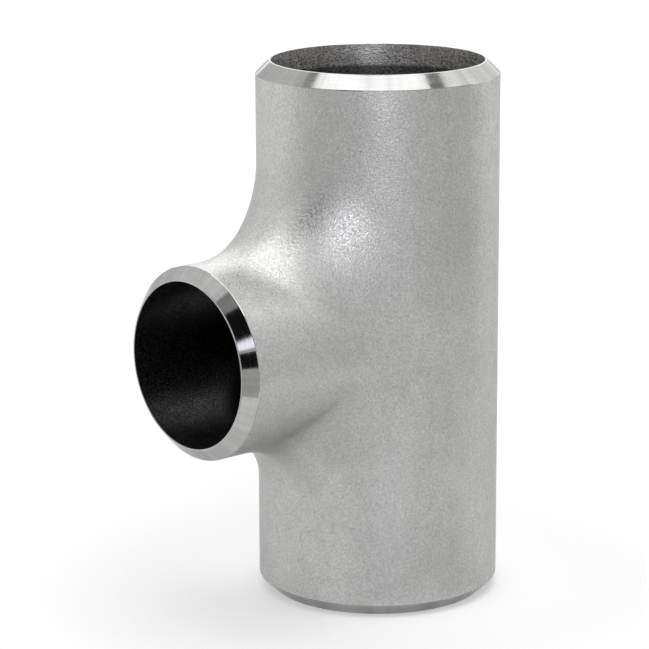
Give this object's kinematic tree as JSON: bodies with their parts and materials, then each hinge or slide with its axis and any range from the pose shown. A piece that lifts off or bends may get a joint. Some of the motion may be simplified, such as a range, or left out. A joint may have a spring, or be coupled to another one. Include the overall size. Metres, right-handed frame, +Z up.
{
  "type": "reducing tee",
  "caption": "Butt-weld reducing tee: a straight pipe run with a smaller side branch swept into it, and bevelled weld ends.",
  "frame": {"origin": "where the axis of the run and the axis of the branch cross, halfway along the run", "axes": "+Z up along the run, -Y along the branch towards its open end, +X across both axes"},
  "size_m": [0.057, 0.0865, 0.127],
  "materials": {
    "blasted_steel": "bead-blasted skin with machined weld bevels"
  },
  "bodies": {
    "root": {"tee_body": "blasted_steel"}
  },
  "joints": []
}
